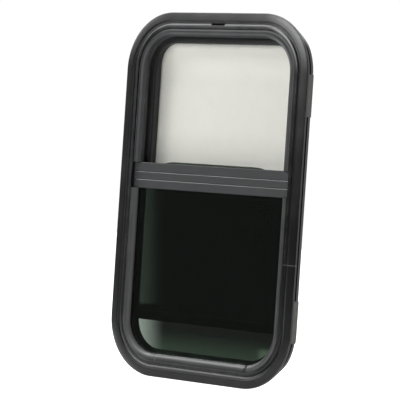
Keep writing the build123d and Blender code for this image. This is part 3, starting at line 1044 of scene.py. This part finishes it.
@dataclass
class FrameAssembly:
    """Outer frame with the trim in its upper rebate."""

    coat: FrameCoat = FrameCoat()
    trim: Vinyl = Vinyl(
        tone=(0.046, 0.047, 0.050), chalk=(0.100, 0.102, 0.110), dulling=0.0,
        # Painted highlights on the upper right bend and the top, and painted shade in the darker stretches.
        patches=(*stretches(Region.TOP_RIGHT, (24.4, 27.0, 0.55), (32.5, 37.0, 0.50)),
                 *stretches(Region.TOP, (26.2, 28.0, 0.50, 0.4), (30.8, 34.0, 0.22))),
        painted_shade=(*stretches(Region.TOP, (24.2, 25.2, 0.70, 0.4), (28.8, 30.0, 0.35, 0.4), (34.8, 37.0, 0.22)),
               *stretches(Region.TOP_RIGHT, (27.4, 31.8, 0.30)),
               *stretches(Region.TOP_LEFT, (34.0, 37.5, 0.50)),
               *stretches(Region.RIGHT, (25.5, 36.8, 0.40)),
               *stretches(Region.LEFT, (27.6, 31.0, 0.10))))

    def dress(self) -> None:
        """Give the frame and the trim their finishes."""
        dress(self.coat.material("frame_powder_coat"), "outer_frame")
        dress(self.trim.material("trim_vinyl"), "rebate_trim")


@dataclass
class ClampRing:
    """Ring that clamps the wall against the flange, its spacers and its screws."""

    coat: RingCoat = RingCoat()
    spacer: MouldedPlastic = MouldedPlastic()
    steel: ScrewFinish = ScrewFinish()
    cad_bend_r: float = 98 * MM
    side_bend_r: float = 88 * MM
    end_bend_r: float = 96 * MM
    bend_turn: Span = (25.0, 50.0)
    inset: float = 0.7 * MM
    face_y: float = 10.0 * MM
    ring_smooth: float = 30.0
    screw_inset: float = 17.75 * MM
    screw_count: int = 16
    screw_turn: float = 0.7
    screw_smooth: float = 35.0
    head_r: float = 3.3 * MM
    head_h: float = 1.9 * MM
    head_sides: int = 24
    head_edge: float = 0.9 * MM
    head_edge_from: float = 0.9
    head_edge_steps: int = 3
    head_edge_profile: float = 0.6
    slot_l: float = 3.6 * MM
    slot_w: float = 0.85 * MM
    slot_deep: float = 1.1 * MM
    slack: float = 0.01 * MM

    def model_screw(self) -> Object:
        """Model one pan-head screw with a cross recess, lying at the origin and facing along Y.

        Returns:
            The screw's head.
        """
        deselect()
        bpy.ops.mesh.primitive_cylinder_add(vertices=self.head_sides, radius=self.head_r, depth=self.head_h,
                                            location=(0, self.head_h / 2, 0), rotation=(-math.pi / 2, 0, 0))
        head = added("ring_screw")
        bpy.ops.object.mode_set(mode="EDIT")
        bpy.ops.mesh.select_all(action="DESELECT")
        bpy.ops.object.mode_set(mode="OBJECT")
        front = self.head_h * self.head_edge_from
        for edge in head.data.edges:
            edge.select = all(head.data.vertices[number].co.y > front for number in edge.vertices)
        bpy.ops.object.mode_set(mode="EDIT")
        bpy.ops.mesh.select_mode(type="EDGE")
        bpy.ops.mesh.bevel(offset=self.head_edge, segments=self.head_edge_steps,
                           profile=self.head_edge_profile)
        bpy.ops.object.mode_set(mode="OBJECT")
        for turn in (0.0, math.pi / 2):
            deselect()
            bpy.ops.mesh.primitive_cube_add(size=1.0, location=(0, self.head_h, 0), rotation=(0, turn, 0),
                                            scale=(self.slot_l, 2 * self.slot_deep, self.slot_w))
            cutter = added("recess_cutter")
            apply(head, "BOOLEAN", operation="DIFFERENCE", object=cutter, solver="EXACT")
            bpy.data.objects.remove(cutter, do_unlink=True)
        smooth(head, self.screw_smooth)
        return head

    def draw_ring(self) -> Object:
        """Copy the CAD ring and bring its bends out, tighter at the sides than at the ends.

        Returns:
            The ring.
        """
        ring = copy_of(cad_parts["clamp_ring"], "clamp_ring_drawn")
        start_x = OUTLINE.half_w - self.inset - self.cad_bend_r
        start_z = OUTLINE.half_h - self.inset - self.cad_bend_r
        first, last = (math.radians(turn) for turn in self.bend_turn)
        for point in ring.data.vertices:
            past_x, past_z = abs(point.co.x) - start_x, abs(point.co.z) - start_z
            share = min(max((math.atan2(past_z, past_x) - first) / (last - first), 0.0), 1.0)
            share = share * share * (3 - 2 * share)
            less = self.cad_bend_r - self.side_bend_r * (1 - share) - self.end_bend_r * share
            reach = math.hypot(past_x, past_z)
            if min(past_x, past_z) > -self.slack and reach > less:
                point.co.x = math.copysign(start_x + less + past_x * (1 - less / reach), point.co.x)
                point.co.z = math.copysign(start_z + less + past_z * (1 - less / reach), point.co.z)
        pick(ring)
        bpy.ops.object.mode_set(mode="EDIT")
        bpy.ops.mesh.select_all(action="SELECT")
        bpy.ops.mesh.remove_doubles(threshold=self.slack)
        bpy.ops.object.mode_set(mode="OBJECT")
        bpy.ops.mesh.customdata_custom_splitnormals_clear()
        smooth(ring, self.ring_smooth)
        return ring

    def build(self) -> None:
        """Draw the ring and set its screws, each turned a little differently."""
        ring = self.draw_ring()
        ride(ring, self.coat.material("ring_powder_coat"))
        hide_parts("clamp_ring")
        material = self.steel.material("screw_steel")
        pattern = self.model_screw()
        for number in range(self.screw_count):
            x, z = OUTLINE.point(self.screw_inset, (number + 0.5) / self.screw_count)
            screw = copy_of(pattern, f"ring_screw_{number + 1:02d}")
            screw.data.transform(Matrix.Rotation(self.screw_turn * number, 4, "Y"))
            screw.data.transform(Matrix.Translation((x, self.face_y, z)))
            ride(screw, material)
        bpy.data.objects.remove(pattern, do_unlink=True)

    def dress(self) -> None:
        """Give the spacers their finish."""
        dress(self.spacer.material("spacer_plastic"), "ring_spacer_right_upper", "ring_spacer_right_lower",
              "ring_spacer_left_upper", "ring_spacer_left_lower")


@dataclass
class FixedLight:
    """Fixed lower pane with its bead, bedding and cross bar."""

    glass: TintedGlass = TintedGlass()
    bead: Vinyl = Vinyl(
        tone=(0.034, 0.036, 0.036), chalk=(0.072, 0.074, 0.072), joints=(-83.75 * MM,),
        # Painted light on the bead's inner slope at the left and on the lower bends, and painted shade in the
        # darker stretches.
        patches=(*stretches(Region.LEFT, (28.5, 31.5, 0.14, 1.5), (31.5, 35.5, 0.45, 1.5)),
                 *stretches(Region.BOTTOM_LEFT, (24.5, 31.0, 0.16, 1.5), (31.0, 35.5, 0.38, 1.5)),
                 *stretches(Region.BOTTOM_RIGHT, (25.5, 28.0, 0.35, 1.5))),
        painted_shade=(*stretches(Region.BOTTOM, (22.5, 27.0, 0.60, 1.0), (31.8, 34.0, 0.10, 1.0)),
               *stretches(Region.BOTTOM_RIGHT, (22.5, 25.0, 0.40, 1.0))),
        crack=(97.0 * MM, -244.5 * MM, 0.24))
    bar: Vinyl = Vinyl(tone=(0.034, 0.037, 0.038), chalk=(0.056, 0.059, 0.060), roughness=0.5,
                       chalkiness=0.25)
    rubber: SoftStrip = SoftStrip(sill=SILL_PAINTED_LIGHT)

    def dress(self) -> None:
        """Give the pane and what holds it their finishes."""
        dress(self.glass.material("pane_glass"), "fixed_pane")
        dress(self.bead.material("bead_vinyl"), "bead_left", "bead_bottom", "bead_right")
        dress(self.bar.material("bar_coat"), "cross_bar")
        dress(self.rubber.material("bedding_rubber"), "bedding_strip", "bar_glazing_strip")


@dataclass
class Sash:
    """Sliding sash: pane, bottom rail, glides and the pile strips that it brushes."""

    glass: TintedGlass = TintedGlass(tint=(0.120, 0.145, 0.124), clear=1.0)
    coat: PowderCoat = PowderCoat()
    glide: MouldedPlastic = MouldedPlastic(tone=(0.02, 0.02, 0.02))
    pile: SoftStrip = SoftStrip(tone=(0.02, 0.02, 0.021),
                                grain=Grain(0.35 * MM, 3.0, depth=0.3 * MM, strength=0.5))

    def dress(self) -> None:
        """Give the sash and its seals their finishes."""
        dress(self.glass.material("sash_glass"), "sash_pane")
        dress(self.coat.material("rail_powder_coat"), "sash_rail")
        dress(self.glide.material("glide_plastic"), "sash_glide_left", "sash_glide_right")
        dress(self.pile.material("seal_pile"), "track_seal_left", "track_seal_right", "bar_seal")


@dataclass
class InsectScreen:
    """Insect screen: bar frame, spline and a grid of coated threads in place of the CAD sheet."""

    thread: CoatedThread = CoatedThread()
    coat: PowderCoat = PowderCoat(tone=(0.030, 0.030, 0.031), roughness=0.42)
    rubber: SoftStrip = SoftStrip()
    sheet: str = "screen_mesh"
    corner_r: float = 34.5 * MM
    pitch: float = 1.1 * MM
    thread_d: float = 0.70 * MM
    thread_smooth: float = 65.0
    weave_step: float = 0.06 * MM
    sides: int = 6

    def reach(self, axis: Axis, across: float, low: Vector, high: Vector) -> Span:
        """Ends of one thread on the screen's outline, which is round at its upper corners.

        Args:
            axis: The direction that the thread runs in.
            across: Its x if it is upright, or else its z.
            low: Lowest corner of the screen's box.
            high: Highest corner of that box.

        Returns:
            Its lowest and highest z if it is upright, or else its lowest and highest x.
        """
        start = high - Vector((self.corner_r, 0, self.corner_r))
        along, side = axis.value
        past = max(abs(across) - start[side], 0.0)
        end = start[along] + math.sqrt(max(self.corner_r ** 2 - past ** 2, 0.0))
        return low.z if axis is Axis.UPRIGHT else -end, end

    def threads(self, axis: Axis) -> Object:
        """Lay the threads of one direction and bring their ends to the screen's outline.

        Args:
            axis: The direction that they run in.

        Returns:
            The threads as one piece.
        """
        low, high = Vector(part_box(self.sheet)[0]), Vector(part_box(self.sheet)[1])
        along, side = axis.value
        upright = axis is Axis.UPRIGHT
        middle = (low + high) / 2
        count = int((high[side] - low[side] - self.thread_d) / self.pitch) + 1
        place, offset = middle.copy(), Vector()
        place[side] -= (count - 1) * self.pitch / 2
        place.y += self.weave_step * (-1 if upright else 1)
        offset[side] = self.pitch
        deselect()
        bpy.ops.mesh.primitive_cylinder_add(vertices=self.sides, radius=self.thread_d / 2,
                                            depth=high[along] - low[along], end_fill_type="NGON",
                                            location=place, rotation=(0, 0 if upright else math.pi / 2, 0))
        made = added(f"screen_threads_{axis.name.lower()}")
        apply(made, "ARRAY", count=count, use_relative_offset=False, use_constant_offset=True,
              constant_offset_displace=offset)
        for point in made.data.vertices:
            ends = self.reach(axis, point.co[side], low, high)
            point.co[along] = ends[point.co[along] > middle[along]]
        smooth(made, self.thread_smooth)
        return made

    def build(self) -> None:
        """Lay both directions of threads in place of the sheet."""
        material = self.thread.material("screen_thread")
        for axis in Axis:
            laid = self.threads(axis)
            ride(laid, material)
            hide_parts(self.sheet)

    def dress(self) -> None:
        """Give the screen's frame and spline their finishes."""
        dress(self.coat.material("screen_frame_coat"), "screen_bottom_bar", "screen_side_left",
              "screen_side_right", "screen_top_bow")
        dress(self.rubber.material("spline_rubber"), "screen_spline")


def show_to(piece: Object, *kinds: str) -> None:
    """Show a piece of the studio to some kinds of rays alone.

    Args:
        piece: The piece.
        *kinds: Those kinds, as in RAY_KINDS.
    """
    for kind in RAY_KINDS:
        setattr(piece, f"visible_{kind}", kind in kinds)


@dataclass(frozen=True)
class Softbox:
    """One soft light, placed by the direction that it comes from."""

    name: str
    azimuth: float
    elevation: float
    distance: float
    size: float
    power: float

    def build(self) -> None:
        """Hang the light so that it faces the window."""
        turn, lift = math.radians(self.azimuth), math.radians(self.elevation)
        away = Vector((math.sin(turn) * math.cos(lift), -math.cos(turn) * math.cos(lift), math.sin(lift)))
        data = bpy.data.lights.new(self.name, "AREA")
        data.shape = "DISK"
        data.size = self.size
        data.energy = self.power
        lamp = bpy.data.objects.new(self.name, data)
        lamp.location = away * self.distance
        lamp.rotation_euler = away.to_track_quat("Z", "Y").to_euler()
        bpy.context.collection.objects.link(lamp)


@dataclass(frozen=True)
class Floor:
    """One layer of the pale floor, which some kinds of rays see."""

    name: str
    gap: float
    front: float
    back: float
    glow: float
    seen_by: Tuple[str, ...]
    size: float = 12.0
    tone: Colour = (0.86, 0.86, 0.86)
    cloud: float = 0.98
    grain: Grain = Grain(0.4)
    roughness: float = 0.9
    specular: float = 0.1

    def build(self) -> None:
        """Lay the layer just under the window."""
        deselect()
        bpy.ops.mesh.primitive_plane_add(size=self.size, location=(0, 0, CAD_BOX[0][2] - self.gap))
        floor = added(self.name)
        for vertex in floor.data.vertices:
            vertex.co.y = -self.front if vertex.co.y < 0 else self.back
        shader = Shader(f"{self.name}_paper")
        tone = shader.blend(self.tone, times(self.tone, self.cloud), shader.noise(self.grain))
        floor.data.materials.append(shader.finish(
            Base_Color=tone, Roughness=self.roughness, Specular_IOR_Level=self.specular,
            Emission_Strength=self.glow))
        show_to(floor, *self.seen_by)


@dataclass(frozen=True)
class DarkCard:
    """Dark card behind the window, which shows only through the glass: painted shade for the window's shadow
    behind it.

    It is clear towards the left, has a dark band behind the sash rail, and grows lighter at its foot and in
    its lower right corner, which is painted light.
    """

    size: float = 1.2
    y: float = 60 * MM
    left: float = -181 * MM
    margin: float = 60 * MM
    soft: float = 60 * MM
    lean: float = 0.10
    low: float = -206 * MM
    rise: float = 40 * MM
    tone: Colour = (0.030, 0.030, 0.030)
    foot: Colour = (0.122, 0.160, 0.124)
    corner: Colour = (0.28, 0.34, 0.27)
    corner_x: Span = (64 * MM, 78 * MM)
    corner_z: Span = (-220 * MM, -229 * MM)
    rail_top_z: Span = (-172 * MM, -174 * MM)
    rail_foot_z: Span = (-188 * MM, -186 * MM)

    def build(self) -> None:
        """Hang the card."""
        deselect()
        middle = self.left - self.margin + self.size / 2
        bpy.ops.mesh.primitive_plane_add(size=self.size, location=(middle, self.y, 0),
                                         rotation=(math.pi / 2, 0, 0))
        card = added("dark_card")
        shader = Shader("card_painted_shade")
        x, _, z = shader.axes
        cover = (x + (z - self.low) * self.lean).ramp(self.left, self.left + self.soft)
        cover = cover.at_least(z.ramp(*self.rail_top_z) * z.ramp(*self.rail_foot_z))
        # Painted light: the card glows lighter at its foot and in its lower right corner.
        light = shader.blend(self.tone, self.foot, z.ramp(self.low, self.low - self.rise))
        light = shader.blend(light, self.corner, x.ramp(*self.corner_x) * z.ramp(*self.corner_z))
        glow = shader.node("ShaderNodeEmission", inputs={"Color": light})
        clear = shader.node("ShaderNodeBsdfTransparent")
        mixed = shader.node("ShaderNodeMixShader", inputs={0: cover, 1: clear.outputs[0], 2: glow.outputs[0]})
        shader.node("ShaderNodeOutputMaterial", inputs={"Surface": mixed.outputs[0]})
        card.data.materials.append(shader.material)
        show_to(card, "transmission")


@dataclass
class Studio:
    """Plain pale floor, soft lights, the dark card seen through the glass, and the camera."""

    floors: Sequence[Floor] = (
        Floor("floor", 0.4 * MM, 0.7, 6.0, 0.9, ("camera",)),
        Floor("floor_bounce", 0.4 * MM, 1.5, 0.0, 0.0, ("diffuse", "shadow")),
        Floor("floor_gloss", 0.2 * MM, 0.30, 0.0, 0.0, ("glossy",)),
    )
    lights: Sequence[Softbox] = (
        Softbox("front_light", -22.0, 24.0, 2.2, 0.8, 16.5),
        Softbox("left_light", -60.0, 45.0, 2.2, 0.8, 42.0),
        Softbox("far_left_light", -75.0, 25.0, 2.2, 0.8, 8.0),
    )
    card: DarkCard = DarkCard()
    ambient: float = 0.04
    sky: float = 1.03
    sky_depth: Span = (-0.05, 0.10)
    sensor: float = 36.0
    lens: float = 223.75
    clip_end: float = 50.0
    camera_place: Point = (2.42986, -2.87127, 0.03836)
    camera_back: Point = (0.64846473, -0.76116078, 0.01130339)
    camera_up: Point = (-0.05745114, -0.03412802, 0.99776482)

    def build_world(self) -> None:
        """White where it is seen directly and behind the window, dim in front of it."""
        world = bpy.data.worlds.new("studio")
        world.use_nodes = True
        bpy.context.scene.world = world
        graph = NodeGraph(world.node_tree)
        path = graph.node("ShaderNodeLightPath")
        _, depth, _ = graph.split(graph.node("ShaderNodeTexCoord").outputs["Generated"])
        behind = depth.ramp(*self.sky_depth) * (self.sky - self.ambient) + self.ambient
        strength = behind.at_least(Value(graph, path.outputs["Is Camera Ray"]))
        sky = graph.node("ShaderNodeBackground", inputs={"Color": (1, 1, 1, 1), "Strength": strength})
        graph.node("ShaderNodeOutputWorld", inputs={"Surface": sky.outputs[0]})

    def build_camera(self) -> None:
        """Set the camera where the photograph was taken from."""
        data = bpy.data.cameras.new("camera")
        data.sensor_width = self.sensor
        data.lens = self.lens
        data.clip_end = self.clip_end
        camera = bpy.data.objects.new("camera", data)
        back, up = Vector(self.camera_back), Vector(self.camera_up)
        turn = Matrix((up.cross(back), up, back)).transposed()
        camera.matrix_world = Matrix.Translation(self.camera_place) @ turn.to_4x4()
        bpy.context.collection.objects.link(camera)
        bpy.context.scene.camera = camera

    def build(self) -> None:
        """Set up the whole studio."""
        self.build_world()
        for thing in (*self.floors, self.card, *self.lights):
            thing.build()
        self.build_camera()
        bpy.context.scene.view_settings.view_transform = "Standard"


def main() -> None:
    """Dress the window, build its new pieces and set up the studio."""
    logging.basicConfig(level=logging.INFO, format="%(message)s")
    ring, screen = ClampRing(), InsectScreen()
    for assembly in (FrameAssembly(), ring, FixedLight(), Sash(), screen):
        assembly.dress()
        LOG.info("dressed %s", type(assembly).__name__)
    ring.build()
    screen.build()
    Studio().build()


if __name__ == "__main__":
    main()
